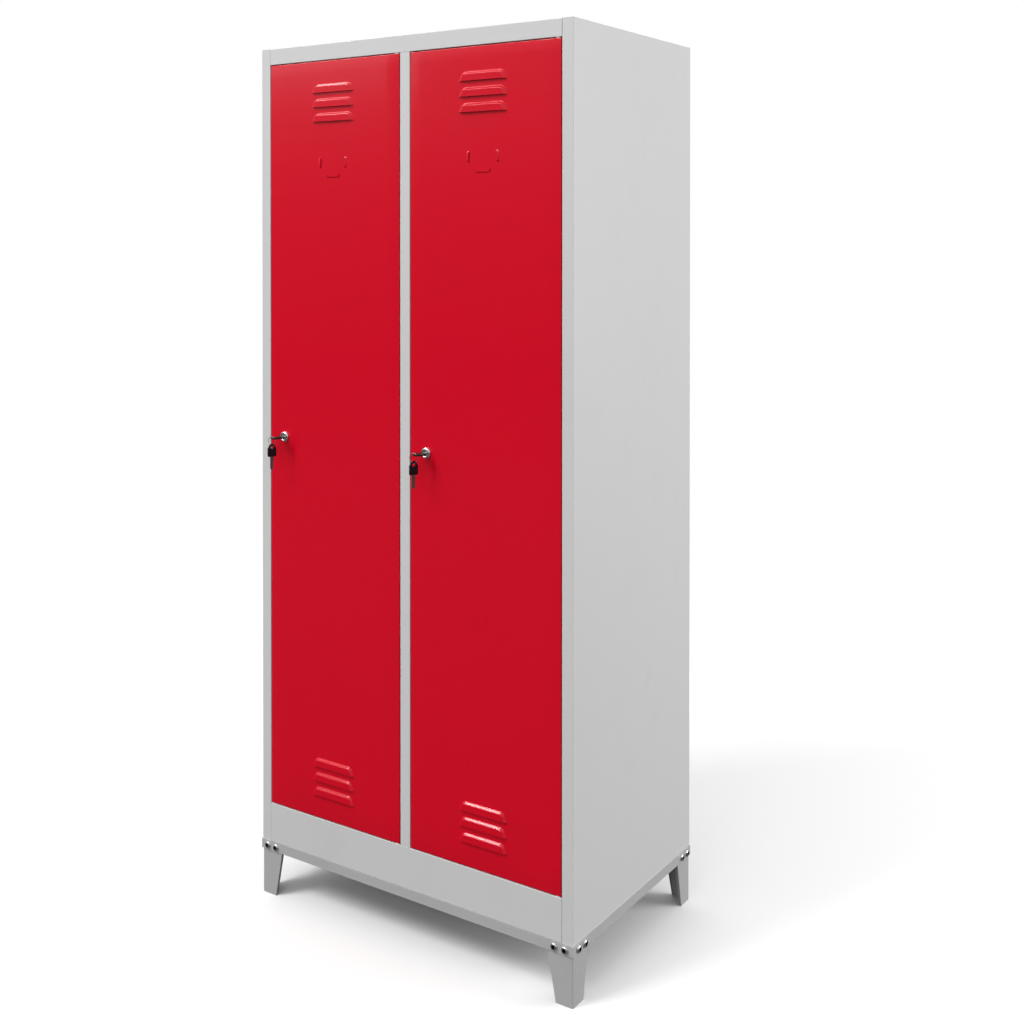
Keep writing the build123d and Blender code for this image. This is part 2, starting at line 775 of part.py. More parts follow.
# A key lies in the local XY plane with its blade along +Y and the middle of its ring hole at
# the origin.
def key_blade():
    start = bow_reach - key_tang
    end = bow_reach + key_neck + key_blade_in_plug
    half = key_blade_width / 2
    thick = key_blade_thickness / 2
    blade = block(-half, half, start, end, -thick, thick)
    for i, depth in enumerate(key_notch_depths):
        y = end - key_notch_pitch * (i + 1)
        through = (-key_blade_thickness, key_blade_thickness)
        blade -= block(half - depth, half + overrun, y, y + key_notch_width, *through)
    return blade


# The bow is a block with square shoulders and a round head about the ring hole.
def key_bow():
    outline = Pos(0, bow_reach / 2) * RectangleRounded(bow_width, bow_reach, bow_corner)
    outline += Circle(bow_head_radius)
    bow = Pos(0, 0, -bow_thickness / 2) * extrude(outline, bow_thickness)
    bow -= rod((0, 0, -bow_thickness), (0, 0, 1), bow_hole_radius, 2 * bow_thickness)
    half = key_blade_width / 2 + key_tang_gap
    thick = key_blade_thickness / 2 + key_tang_gap
    pocket = block(-half, half, bow_reach - key_tang - key_tang_gap, bow_reach + overrun, -thick, thick)
    return bow - pocket


def ring_hole(side):
    return lock_centre(side), front_y - bow_hole_reach, lock_z


def in_lock(side, piece):
    return Pos(*ring_hole(side)) * piece


# The ring stands square to the blade and passes both bows' holes.
def key_ring(side):
    x, y, z = ring_hole(side)
    centre = (x - ring_offset, y, z - ring_offset)
    return Plane(origin=centre, z_dir=(0, 1, 0)) * Torus(ring_radius, ring_wire_radius)


# The spare key hangs from the lowest point of the ring, turned a little towards the front.
def hanging(side, piece):
    x, y, z = ring_hole(side)
    place = Plane(origin=(x - ring_offset, y, z - spare_hole_drop), x_dir=(0, 1, 0), z_dir=(-1, 0, 0))
    return place * Rot(0, spare_key_yaw_angle, 0) * piece


def save(name, shape):
    export_step(shape, "parts/" + name + ".step")


def main():
    os.makedirs("parts", exist_ok=True)
    save("left_side_panel", side_panel(-1))
    save("right_side_panel", side_panel(1))
    save("back_panel", back_panel())
    save("top_panel", top_panel())
    save("bottom_panel", bottom_panel())
    save("centre_post", centre_post())
    save("centre_partition", centre_partition())
    save("rail_sockets", rail_sockets())
    save("coat_hooks", coat_hooks())
    save("back_rivets", back_rivets())
    save("front_base_bar", cross_bar(-1))
    save("rear_base_bar", cross_bar(1))
    save("left_base_bar", side_bar(-1))
    save("right_base_bar", side_bar(1))
    save("front_left_leg", leg(-1, -1))
    save("front_right_leg", leg(1, -1))
    save("rear_left_leg", leg(-1, 1))
    save("rear_right_leg", leg(1, 1))
    save("leg_bolts", leg_bolts())
    save("leg_nuts", leg_nuts())
    save("base_screws", base_screws())
    save("base_nuts", base_nuts())
    save("hinge_bushes", hinge_bushes())
    save("door_stops", door_stops())
    save("door_buffers", door_buffers())
    for side in openings:
        save(side + "_hat_shelf", hat_shelf(side))
        save(side + "_coat_rail", coat_rail(side))
        save(side + "_door_panel", door_panel(side))
        save(side + "_door_stiffener", door_stiffener(side))
        save(side + "_pivot_blocks", pivot_blocks(side))
        save(side + "_pivot_pins", pivot_pins(side))
        save(side + "_lock_housing", lock_housing(side))
        save(side + "_lock_nut", lock_nut(side))
        save(side + "_lock_plug", lock_plug(side))
        save(side + "_lock_cam", lock_cam(side))
        save(side + "_cam_screw", cam_screw(side))
        save(side + "_key_blade", in_lock(side, key_blade()))
        save(side + "_key_bow", in_lock(side, key_bow()))
        save(side + "_key_ring", key_ring(side))
        save(side + "_spare_key_blade", hanging(side, key_blade()))
        save(side + "_spare_key_bow", hanging(side, key_bow()))


main()
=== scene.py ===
import bmesh
import bpy
import json
import math
import numpy as np
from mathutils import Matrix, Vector


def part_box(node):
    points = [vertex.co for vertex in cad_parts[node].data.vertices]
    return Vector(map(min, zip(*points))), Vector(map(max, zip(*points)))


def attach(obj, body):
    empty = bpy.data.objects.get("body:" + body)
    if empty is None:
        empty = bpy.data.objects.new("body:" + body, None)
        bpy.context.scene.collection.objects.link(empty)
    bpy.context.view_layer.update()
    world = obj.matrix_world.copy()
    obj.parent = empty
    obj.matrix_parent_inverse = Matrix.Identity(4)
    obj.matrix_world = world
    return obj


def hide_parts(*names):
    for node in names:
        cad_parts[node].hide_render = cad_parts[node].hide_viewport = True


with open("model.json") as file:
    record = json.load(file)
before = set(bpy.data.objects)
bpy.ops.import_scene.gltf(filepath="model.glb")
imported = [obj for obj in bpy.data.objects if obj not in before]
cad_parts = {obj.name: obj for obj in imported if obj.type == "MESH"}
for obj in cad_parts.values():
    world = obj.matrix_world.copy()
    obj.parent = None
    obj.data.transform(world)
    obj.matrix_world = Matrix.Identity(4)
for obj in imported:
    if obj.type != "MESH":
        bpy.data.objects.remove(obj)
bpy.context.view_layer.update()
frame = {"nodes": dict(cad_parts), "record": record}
nodes = frame["nodes"]
slotOf = {part["node"]: part["material_slot"] for part in frame["record"]["subparts"]}
mm = 0.001
sides = ("left", "right")
print("frame loaded:", len(nodes), "nodes")

# camera: standing to the right of the locker, verticals kept straight by the lens shift
shot = {
    "fromCorner": (2.0549, -2.1210, 1.3392),   # metres from the body's lowest front left corner
    "yaw": 34.167,                              # degrees turned to the left
    "pitch": -0.467,
    "lens": 46.14,
    "sensor": 36.0,
    "shift": (0.0196, -0.2592),
}

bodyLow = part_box("left_side_panel")[0]
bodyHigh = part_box("right_side_panel")[1]
camera = bpy.data.objects.new("camera", bpy.data.cameras.new("camera"))
camera.data.sensor_width = shot["sensor"]
camera.data.lens = shot["lens"]
camera.data.shift_x, camera.data.shift_y = shot["shift"]
camera.location = bodyLow + Vector(shot["fromCorner"])
camera.rotation_euler = (math.radians(90 + shot["pitch"]), 0, math.radians(shot["yaw"]))
bpy.context.scene.collection.objects.link(camera)
bpy.context.scene.camera = camera
bpy.context.scene.view_settings.view_transform = "Standard"
print("camera placed")


# shader helpers: a new node with its settings, and its inputs set by name, an underscore for each space
def addNode(tree, kind, **settings):
    node = tree.nodes.new(kind)
    for key, value in settings.items():
        setattr(node, key, value)
    return node


def setInputs(node, **values):
    for key, value in values.items():
        node.inputs[key.replace("_", " ")].default_value = value
    return node


def addNoise(tree, place, values):
    noise = setInputs(addNode(tree, "ShaderNodeTexNoise"), **values)
    tree.links.new(place, noise.inputs["Vector"])
    return noise.outputs["Fac"]


# one step of arithmetic, each term a socket or a number
def calculate(tree, operation, *terms, **settings):
    step = addNode(tree, "ShaderNodeMath", operation=operation, **settings)
    for socket, term in zip(step.inputs, terms):
        if isinstance(term, bpy.types.NodeSocket):
            tree.links.new(term, socket)
        else:
            socket.default_value = term
    return step.outputs[0]


def scaledColor(tree, color, factor):
    tint = addNode(tree, "ShaderNodeVectorMath", operation="SCALE")
    tree.links.new(color, tint.inputs[0])
    tree.links.new(factor, tint.inputs["Scale"])
    return tint.outputs[0]


# an effect shared by several materials: it puts out a colour, a roughness and a normal
def newGroup(name, inputs):
    group = bpy.data.node_groups.new(name, "ShaderNodeTree")
    for label, value in inputs.items():
        kind = "NodeSocketColor" if label == "Color" else "NodeSocketFloat"
        group.interface.new_socket(label, in_out="INPUT", socket_type=kind).default_value = value
    for label, kind in (("Color", "NodeSocketColor"), ("Roughness", "NodeSocketFloat"),
                        ("Normal", "NodeSocketVector")):
        group.interface.new_socket(label, in_out="OUTPUT", socket_type=kind)
    return group, addNode(group, "NodeGroupInput"), addNode(group, "NodeGroupOutput")


# powder coat: a fine orange peel over a sheet that is never quite flat, with faint handling marks
coatLayer = {
    "inputs": {"Color": (0.5, 0.5, 0.5, 1), "Roughness": 0.4, "Peel": 0.3, "Waves": 0.5, "Marks": 0.3},
    "peel": {"Scale": 520.0, "Detail": 2.0, "Roughness": 0.55}, "peelHeight": 0.00006,
    "waves": {"Scale": 2.6, "Detail": 1.0, "Roughness": 0.4}, "waveHeight": 0.0016,
    "marks": {"Scale": 7.0, "Detail": 6.0, "Roughness": 0.62, "Distortion": 0.4},
    "wear": {"From_Min": 0.52, "From_Max": 0.75, "To_Max": 0.16},   # from the marks' noise to a share of wear
}


def makeCoatGroup():
    group, inlet, outlet = newGroup("powderCoat", coatLayer["inputs"])
    link = group.links.new
    place = addNode(group, "ShaderNodeTexCoord").outputs["Object"]
    peel, waves, marks = (addNoise(group, place, coatLayer[key]) for key in ("peel", "waves", "marks"))

    waveBump = setInputs(addNode(group, "ShaderNodeBump"), Distance=coatLayer["waveHeight"])
    link(inlet.outputs["Waves"], waveBump.inputs["Strength"])
    link(waves, waveBump.inputs["Height"])
    peelBump = setInputs(addNode(group, "ShaderNodeBump"), Distance=coatLayer["peelHeight"])
    link(inlet.outputs["Peel"], peelBump.inputs["Strength"])
    link(peel, peelBump.inputs["Height"])
    link(waveBump.outputs["Normal"], peelBump.inputs["Normal"])
    link(peelBump.outputs["Normal"], outlet.inputs["Normal"])

    wear = setInputs(addNode(group, "ShaderNodeMapRange"), **coatLayer["wear"])
    link(marks, wear.inputs["Value"])
    share = calculate(group, "MULTIPLY", wear.outputs["Result"], inlet.outputs["Marks"])
    shade = calculate(group, "SUBTRACT", 1.0, share)
    link(scaledColor(group, inlet.outputs["Color"], shade), outlet.inputs["Color"])
    link(calculate(group, "ADD", inlet.outputs["Roughness"], share), outlet.inputs["Roughness"])
    return group


# metal: brushed or cast streaks along one axis in the surface, clouds of tarnish in colour and roughness, and
# painted shade, a darker colour, where the piece's own cavity attribute is high
metalLayer = {
    "inputs": {"Color": (0.6, 0.6, 0.6, 1), "Roughness": 0.3, "Streaks": 0.3, "Tarnish": 0.2},
    "stretch": (900.0, 900.0, 60.0),
    "streaks": {"Scale": 1.0, "Detail": 3.0}, "streakHeight": 0.00003,
    "clouds": {"Scale": 90.0, "Detail": 4.0},
    # painted shade: how much darker the colour is made where the cavity attribute is high
    "paintedShadeAndTarnish": 0.9,
}


def makeMetalGroup():
    group, inlet, outlet = newGroup("platedMetal", metalLayer["inputs"])
    link = group.links.new
    place = addNode(group, "ShaderNodeTexCoord").outputs["Object"]
    stretch = setInputs(addNode(group, "ShaderNodeMapping"), Scale=metalLayer["stretch"])
    link(place, stretch.inputs["Vector"])
    streaks = addNoise(group, stretch.outputs[0], metalLayer["streaks"])
    clouds = addNoise(group, place, metalLayer["clouds"])

    bump = setInputs(addNode(group, "ShaderNodeBump"), Distance=metalLayer["streakHeight"])
    link(inlet.outputs["Streaks"], bump.inputs["Strength"])
    link(streaks, bump.inputs["Height"])
    link(bump.outputs["Normal"], outlet.inputs["Normal"])

    dull = calculate(group, "MULTIPLY", clouds, inlet.outputs["Tarnish"])
    link(calculate(group, "ADD", dull, inlet.outputs["Roughness"]), outlet.inputs["Roughness"])
    cavity = addNode(group, "ShaderNodeAttribute", attribute_name="cavity").outputs["Fac"]
    # painted shade in the cavity, added to the tarnish's darkening; the colour is scaled down by both
    paintedShadeAndTarnish = calculate(group, "MULTIPLY_ADD", cavity, metalLayer["paintedShadeAndTarnish"], dull)
    afterShadeAndTarnish = calculate(group, "SUBTRACT", 1.0, paintedShadeAndTarnish, use_clamp=True)
    link(scaledColor(group, inlet.outputs["Color"], afterShadeAndTarnish), outlet.inputs["Color"])
    return group


coats = {
    "body_paint": {"color": (0.575, 0.575, 0.575), "roughness": 0.36,
                   "peel": 0.25, "waves": 0.3, "marks": 0.2},
    "door_paint": {"color": (0.60, 0.0, 0.014), "roughness": 0.24,
                   "peel": 0.2, "waves": 0.4, "marks": 0.25},
    "base_paint": {"color": (0.415, 0.415, 0.42), "roughness": 0.4,
                   "peel": 0.35, "waves": 0.1, "marks": 0.4},
}
doorGloss = {"Specular_IOR_Level": 0.3, "Coat_Weight": 0.3, "Coat_Roughness": 0.1}
metals = {
    "chrome": {"color": (0.82, 0.82, 0.84), "roughness": 0.08, "streaks": 0.05, "tarnish": 0.12},
    "steel": {"color": (0.62, 0.62, 0.61), "roughness": 0.28, "streaks": 0.35, "tarnish": 0.3},
    # a darker steel, used for the key blades and the key ring
    "darkSteel": {"color": (0.30, 0.29, 0.27), "roughness": 0.3, "streaks": 0.3, "tarnish": 0.35},
}
plastics = {
    "black_plastic": {"color": (0.006, 0.006, 0.007), "roughness": 0.5, "grain": 0.35, "scale": 2600.0},
    "nylon": {"color": (0.72, 0.71, 0.66), "roughness": 0.5, "grain": 0.2, "scale": 1500.0},
    "rubber": {"color": (0.02, 0.02, 0.02), "roughness": 0.8, "grain": 0.6, "scale": 1800.0},
}
# moulded grain, and patches this many times larger that are a little glossier or duller than the rest
moulding = {"specular": 0.3, "grainHeight": 0.00004, "grainDetail": 2.0,
            "patchSize": 20, "patchDetail": 3.0, "glossier": 0.06, "duller": 0.1}


def newMaterial(name):
    material = bpy.data.materials.new(name)
    material.use_nodes = True
    return material, material.node_tree, material.node_tree.nodes["Principled BSDF"]


def groupedMaterial(name, group, settings):
    material, tree, shader = newMaterial(name)
    layer = addNode(tree, "ShaderNodeGroup", node_tree=group)
    for key, value in settings.items():
        layer.inputs[key.capitalize()].default_value = (*value, 1) if key == "color" else value
    tree.links.new(layer.outputs["Color"], shader.inputs["Base Color"])
    tree.links.new(layer.outputs["Roughness"], shader.inputs["Roughness"])
    tree.links.new(layer.outputs["Normal"], shader.inputs["Normal"])
    return material, shader


def plasticMaterial(name, settings):
    material, tree, shader = newMaterial(name)
    setInputs(shader, Base_Color=(*settings["color"], 1), Specular_IOR_Level=moulding["specular"])
    place = addNode(tree, "ShaderNodeTexCoord").outputs["Object"]
    scale, level = settings["scale"], settings["roughness"]
    grain = addNoise(tree, place, {"Scale": scale, "Detail": moulding["grainDetail"]})
    bump = addNode(tree, "ShaderNodeBump")
    setInputs(bump, Strength=settings["grain"], Distance=moulding["grainHeight"])
    tree.links.new(grain, bump.inputs["Height"])
    tree.links.new(bump.outputs["Normal"], shader.inputs["Normal"])
    patchScale = scale / moulding["patchSize"]
    patches = addNoise(tree, place, {"Scale": patchScale, "Detail": moulding["patchDetail"]})
    gloss = addNode(tree, "ShaderNodeMapRange")
    setInputs(gloss, To_Min=level - moulding["glossier"], To_Max=level + moulding["duller"])
    tree.links.new(patches, gloss.inputs["Value"])
    tree.links.new(gloss.outputs["Result"], shader.inputs["Roughness"])
    return material


coatGroup = makeCoatGroup()
metalGroup = makeMetalGroup()
finishes = {}
for slot, settings in coats.items():
    finishes[slot], shader = groupedMaterial(slot, coatGroup, settings)
    if slot == "door_paint":
        setInputs(shader, **doorGloss)
for slot, settings in metals.items():
    finishes[slot], shader = groupedMaterial(slot, metalGroup, settings)
    setInputs(shader, Metallic=1.0)
for slot, settings in plastics.items():
    finishes[slot] = plasticMaterial(slot, settings)

for name, node in nodes.items():
    node.data.materials.clear()
    node.data.materials.append(finishes[slotOf[name]])
print("materials made:", len(finishes))


# surfaces: quads over a grid of points, rows by columns, either way closed on itself
def gridQuads(rows, columns, closeRows=False, closeColumns=False):
    r = np.arange(rows if closeRows else rows - 1)[:, None]
    c = np.arange(columns if closeColumns else columns - 1)[None, :]
    nextR, nextC = (r + 1) % rows, (c + 1) % columns
    quads = [r * columns + c, r * columns + nextC, nextR * columns + nextC, nextR * columns + c]
    return np.stack([np.broadcast_to(q, (r.size, c.size)) for q in quads], -1).reshape(-1, 4)


# joins surfaces into one: the quads of each count on from the points of those before it
def joinSurfaces(surfaces):
    starts = np.cumsum([0] + [len(points) for points, quads in surfaces[:-1]])
    points = np.concatenate([surface[0] for surface in surfaces])
    quads = np.concatenate([surface[1] + start for start, surface in zip(starts, surfaces)])
    return points, quads


weldDistance = 0.000001   # metres


def shadeSmooth(mesh, sharpAngle):
    mesh.polygons.foreach_set("use_smooth", np.ones(len(mesh.polygons), bool))
    mesh.set_sharp_from_angle(angle=math.radians(sharpAngle))
    mesh.update()


def finishMesh(mesh, sharpAngle):
    work = bmesh.new()
    work.from_mesh(mesh)
    bmesh.ops.remove_doubles(work, verts=work.verts, dist=weldDistance)
    bmesh.ops.dissolve_degenerate(work, edges=work.edges, dist=weldDistance)
    bmesh.ops.recalc_face_normals(work, faces=work.faces)
    work.to_mesh(mesh)
    work.free()
    shadeSmooth(mesh, sharpAngle)


# a piece takes its slot's finish, or another look, and stands in for the CAD nodes that it replaces
def makePiece(name, points, quads, slot, body, replaced, sharpAngle, cavity=None, look=None):
    mesh = bpy.data.meshes.new(name)
    mesh.from_pydata(points.reshape(-1, 3).tolist(), [], quads.tolist())
    # a cavity value per point, where the metal finish paints shade
    if cavity is not None:
        mesh.attributes.new("cavity", "FLOAT", "POINT").data.foreach_set("value", cavity)
    finishMesh(mesh, sharpAngle)
    piece = bpy.data.objects.new(name, mesh)
    bpy.context.scene.collection.objects.link(piece)
    mesh.materials.append(finishes[look or slot])
    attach(piece, body)
    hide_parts(*replaced)
    return piece


# door skin: the sheet's face is a height over a grid of x and z lines, where louvres and card lances rise as
# pressings; its edge is a profile carried round the border; a card holder is one sill and two lugs, and every
# pressing has a length along its slit and one at the crown, a width away from the slit, a depth out of the
# door, the radius of its corners and the width of its slope
door = {
    "sheet": 0.8 * mm, "bend": 1.2 * mm, "depth": 18 * mm, "hem": 12 * mm,
    "bendSteps": 6, "cornerSteps": 5, "skinAngle": 60, "wallAngle": 35,
    "gap": 2 * mm, "topRail": 35 * mm,   # above the door, up to the body's top
    "louvreCount": 3, "louvrePitch": 31 * mm, "louvreMargin": 49 * mm,
    "louvre": {"length": 115 * mm, "crown": 98 * mm, "width": 18.5 * mm, "depth": 5 * mm,
               "corner": 8 * mm, "bevel": 5.6 * mm},
    "lug": {"length": 24 * mm, "crown": 20 * mm, "width": 6 * mm, "depth": 1.8 * mm,
            "corner": 2 * mm, "bevel": 2.2 * mm},
    "sill": {"length": 40 * mm, "crown": 34 * mm, "width": 8 * mm, "depth": 1.8 * mm,
             "corner": 2 * mm, "bevel": 2 * mm},
    "cardWidth": 66 * mm, "lugRise": 12 * mm,
    "sillDrop": 277 * mm,                # counted from one gap below the body's top
    "lockHole": 9.2 * mm, "lockWarp": 15 * mm,   # half widths of the hole and of the grid drawn round it
    "coarseStep": 40 * mm, "fineStep": 0.75 * mm, "flatStretch": 1.6, "lockStep": 1.5 * mm,
    "lanceStep": 0.6 * mm,
    "sillEnd": 5 * mm, "lugEnd": 3 * mm,         # how far fine lines lie about a lance's ends
    "slit": 0.04 * mm, "slitDrop": 0.3 * mm,     # a slit's half width, and the least drop across it
    "clear": 0.25 * mm,                          # no other line stands this close to a slit's own
}


# height of a pressing: the distance in from its rounded rim, turned into a smooth rise and a flat crown
def pressingHeight(along, across, form):
    taper = (form["length"] - form["crown"]) / 2
    slant = math.hypot(taper, form["width"])
    fromEnd = (form["length"] / 2 - taper * across / form["width"] - np.abs(along)) * form["width"] / slant
    fromTop = form["width"] - across
    r = form["corner"]
    rounded = r - np.hypot(np.maximum(r - fromEnd, 0), np.maximum(r - fromTop, 0))
    inside = np.where((fromEnd < r) & (fromTop < r), rounded, np.minimum(fromEnd, fromTop))
    rise = np.clip(inside / form["bevel"], 0, 1)
    return np.where(across >= 0, form["depth"] * rise * rise * (3 - 2 * rise), 0)


# lines across a span: coarse ones, fine ones over each patch, and one just outside it that keeps the flat
# around it evenly shaded
def gridLines(low, high, patches):
    beyond = 1.6   # of a step, so that the last fine line falls outside its patch
    lines = [np.arange(low, high, door["coarseStep"]), [low, high]]
    lines += [np.arange(start - step, end + beyond * step, step) for start, end, step in patches]
    return np.unique(np.clip(np.round(np.concatenate(lines), 7), low, high))


# lines at both lips of a slit, and none so close that a sliver face appears beside it
def withSlits(lines, slits, gap):
    for place in slits:
        lines = lines[np.abs(lines - place) > door["clear"]]
        lines = np.append(lines, [place - gap, place + gap])
    return np.sort(lines)


# where the pressings stand: the door's middle, each louvre's mouth, the sill's slit and the lugs' middle
def pressings(low, high):
    middle = (low.x + high.x) / 2
    bottom = low.z + door["louvreMargin"]
    top = high.z - door["louvreMargin"] - door["louvre"]["width"]
    rows = [bottom + i * door["louvrePitch"] for i in range(door["louvreCount"])]
    rows += [top - i * door["louvrePitch"] for i in range(door["louvreCount"])]
    sillZ = high.z + door["gap"] + door["topRail"] - (door["sillDrop"] + door["gap"])
    lugZ = sillZ + door["lugRise"] + door["lug"]["length"] / 2
    return middle, rows, sillZ, lugZ


# the face's x and z lines: fine where a pressing slopes and round the lock, coarse between
def doorLines(low, high, lockX, lockZ):
    middle, rows, sillZ, lugZ = pressings(low, high)
    r, gap, warp, hole = (door[key] for key in ("bend", "slit", "lockWarp", "lockHole"))
    louvre, lug, sill = (door[key] for key in ("louvre", "lug", "sill"))
    fine, lanceStep, sillEnd, lugEnd = (door[key] for key in ("fineStep", "lanceStep", "sillEnd", "lugEnd"))
    half, lance, sillHalf = louvre["length"] / 2, door["cardWidth"] / 2, sill["length"] / 2
    slope = (louvre["length"] - louvre["crown"]) / 2 + louvre["corner"] + louvre["bevel"] / 2

    patches = [
        (lockX - warp, lockX + warp, door["lockStep"]),
        (middle - sillHalf, middle - sillHalf + sillEnd, lanceStep),
        (middle + sillHalf - sillEnd, middle + sillHalf, lanceStep),
        (middle - half, middle - half + slope, fine),
        (middle + half - slope, middle + half, fine),
        (middle + lance, middle + lance + lug["width"] + lanceStep, lanceStep),
        (middle - lance - lug["width"] - lanceStep, middle - lance, lanceStep),
    ]
    xs = gridLines(low.x + r, high.x - r, patches)
    xs = withSlits(xs, [middle - lance, middle + lance], gap)
    xs = withSlits(xs, [lockX - hole, lockX + hole], 0)

    patches = [
        (sillZ - sill["width"] - lanceStep, sillZ, lanceStep),
        (lockZ - warp, lockZ + warp, door["lockStep"]),
    ]
    for z in rows:
        patches += [(z, z + louvre["width"] - louvre["bevel"], door["flatStretch"] * fine)]
        patches += [(z + louvre["width"] - louvre["bevel"], z + louvre["width"], fine)]
    for end in (-lug["length"] / 2, lug["length"] / 2):
        patches += [(lugZ + end - lugEnd, lugZ + end + lugEnd, lanceStep)]
    zs = gridLines(low.z + r, high.z - r, patches)
    zs = withSlits(zs, rows + [sillZ], gap)
    zs = withSlits(zs, [lockZ - hole, lockZ + hole], 0)
    return xs, zs


# height of the face: at each point, the highest of the pressings there
def doorHeight(x, z, middle, rows, sillZ, lugZ):
    lance = door["cardWidth"] / 2
    height = np.zeros_like(x)
    for row in rows:
        height = np.maximum(height, pressingHeight(x - middle, z - row, door["louvre"]))
    height = np.maximum(height, pressingHeight(x - middle, sillZ - z, door["sill"]))
    height = np.maximum(height, pressingHeight(z - lugZ, middle - lance - x, door["lug"]))
    return np.maximum(height, pressingHeight(z - lugZ, x - middle - lance, door["lug"]))


# the face: quads that would close a slit or the lock's hole are left out, and the grid about the square hole
# is drawn in towards the lock, most at the corners, until the hole is round
def doorFace(low, high, frontY, lockX, lockZ):
    xs, zs = doorLines(low, high, lockX, lockZ)
    x, z = np.meshgrid(xs, zs)
    height = doorHeight(x, z, *pressings(low, high))
    quads = gridQuads(len(zs), len(xs))
    wide, tall, drop = (np.ptp(values.reshape(-1)[quads], 1) for values in (x, z, height))
    inSlit = (drop > door["slitDrop"]) & (np.minimum(wide, tall) < 3 * door["slit"])

    hole, warp, tiny = door["lockHole"], door["lockWarp"], 0.000001
    u, v = x - lockX, z - lockZ
    square = np.maximum(np.abs(u), np.abs(v))
    distance = np.hypot(u, v) + 1e-9   # never zero
    inHole = (square < hole - tiny).reshape(-1)[quads].any(1)
    blend = np.clip((warp - square) / (warp - hole), 0, 1)
    pull = 1 - blend + blend * square / distance
    x, z = lockX + u * pull, lockZ + v * pull
    points = np.stack([x, frontY - height, z], -1).reshape(-1, 3)
    return points, quads[~(inSlit | inHole)], xs, zs


# edge profile: out and back round the front bend, straight back, round the rear bend and in along the hem; it
# runs square to each side, fans out round each corner, and is mitred where the hem turns in
def doorRim(xs, zs, frontY):
    r, depth, hem = door["bend"], door["depth"], door["hem"]
    arc = np.linspace(0, math.pi / 2, door["bendSteps"])
    out = np.concatenate([r * np.sin(arc), r * np.cos(arc), [r - hem]])
    back = np.concatenate([r * (1 - np.cos(arc)), depth - r + r * np.sin(arc), [depth]])
    turn = np.linspace(0, math.pi / 2, door["cornerSteps"])[1:-1]
    borders = [
        (np.stack([xs, np.full_like(xs, zs[0])], -1), (0, -1)),
        (np.stack([np.full_like(zs, xs[-1]), zs], -1), (1, 0)),
        (np.stack([xs[::-1], np.full_like(xs, zs[-1])], -1), (0, 1)),
        (np.stack([np.full_like(zs, xs[0]), zs[::-1]], -1), (-1, 0)),
    ]
    base, normal, mitre = [], [], []
    for i, (line, way) in enumerate(borders):
        way = np.array(way, float)
        nextWay = np.array(borders[(i + 1) % 4][1], float)
        inner = np.tile(way, (len(line), 1))
        inner[-1] = way + nextWay
        inner[0] = way + np.array(borders[i - 1][1], float)
        base += [line, np.tile(line[-1], (len(turn), 1))]
        fan = np.cos(turn)[:, None] * way + np.sin(turn)[:, None] * nextWay
        normal += [np.tile(way, (len(line), 1)), fan]
        mitre += [inner, np.tile(way + nextWay, (len(turn), 1))]
    base, normal, mitre = (np.concatenate(part) for part in (base, normal, mitre))
    ways = np.where(out[:, None, None] >= 0, normal[None], mitre[None])
    flat = base[None] + ways * out[:, None, None]
    y = np.broadcast_to(frontY + back[:, None], flat.shape[:2])
    points = np.stack([flat[..., 0], y, flat[..., 1]], -1)
    return points.reshape(-1, 3), gridQuads(len(out), len(base), closeColumns=True)


# the sheet's wall grows inward from the face, and is made part of the mesh before its sharp edges are marked
def giveWall(piece, thickness, sharpAngle):
    wall = piece.modifiers.new("sheet", "SOLIDIFY")
    wall.thickness = thickness
    wall.offset = -1
    solid = bpy.data.meshes.new_from_object(piece.evaluated_get(bpy.context.evaluated_depsgraph_get()))
    piece.modifiers.clear()
    piece.data = solid
    shadeSmooth(solid, sharpAngle)


def makeDoorSkin(side):
    low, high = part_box(side + "_door_panel")
    frontY = bodyLow.y
    lockLow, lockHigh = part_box(side + "_lock_housing")
    lockX, lockZ = (lockLow.x + lockHigh.x) / 2, (lockLow.z + lockHigh.z) / 2
    points, quads, xs, zs = doorFace(low, high, frontY, lockX, lockZ)
    surface = joinSurfaces([(points, quads), doorRim(xs, zs, frontY)])
    skin = makePiece(side + "DoorSkin", *surface, "door_paint", side + "_door", (side + "_door_panel",),
                     door["skinAngle"])
    giveWall(skin, door["sheet"], door["wallAngle"])
    print("door skin:", side, len(skin.data.polygons), "faces")


for side in sides:
    makeDoorSkin(side)


# lathe: a profile of (distance along the axis, radius) turned round it; the radius may change with the angle
def turned(profile, centre, axis, columns, radiusAt, turn=0.0):
    axis = np.array(axis, float)
    across = np.cross(axis, (0, 0, 1) if abs(axis[2]) < 0.9 else (1, 0, 0))
    across /= np.linalg.norm(across)
    other = np.cross(axis, across)
    angles = np.arange(columns) * 2 * math.pi / columns + turn
    along, radius = np.broadcast_arrays(*(np.array(profile, float).T[:, :, None] + 0 * angles))
    radius = radiusAt(along, radius, angles - turn)
    ring = np.cos(angles)[None, :, None] * across + np.sin(angles)[None, :, None] * other
    points = np.array(centre, float) + along[..., None] * axis + radius[..., None] * ring
    return points.reshape(-1, 3), gridQuads(len(profile), columns, closeColumns=True)[:, ::-1]


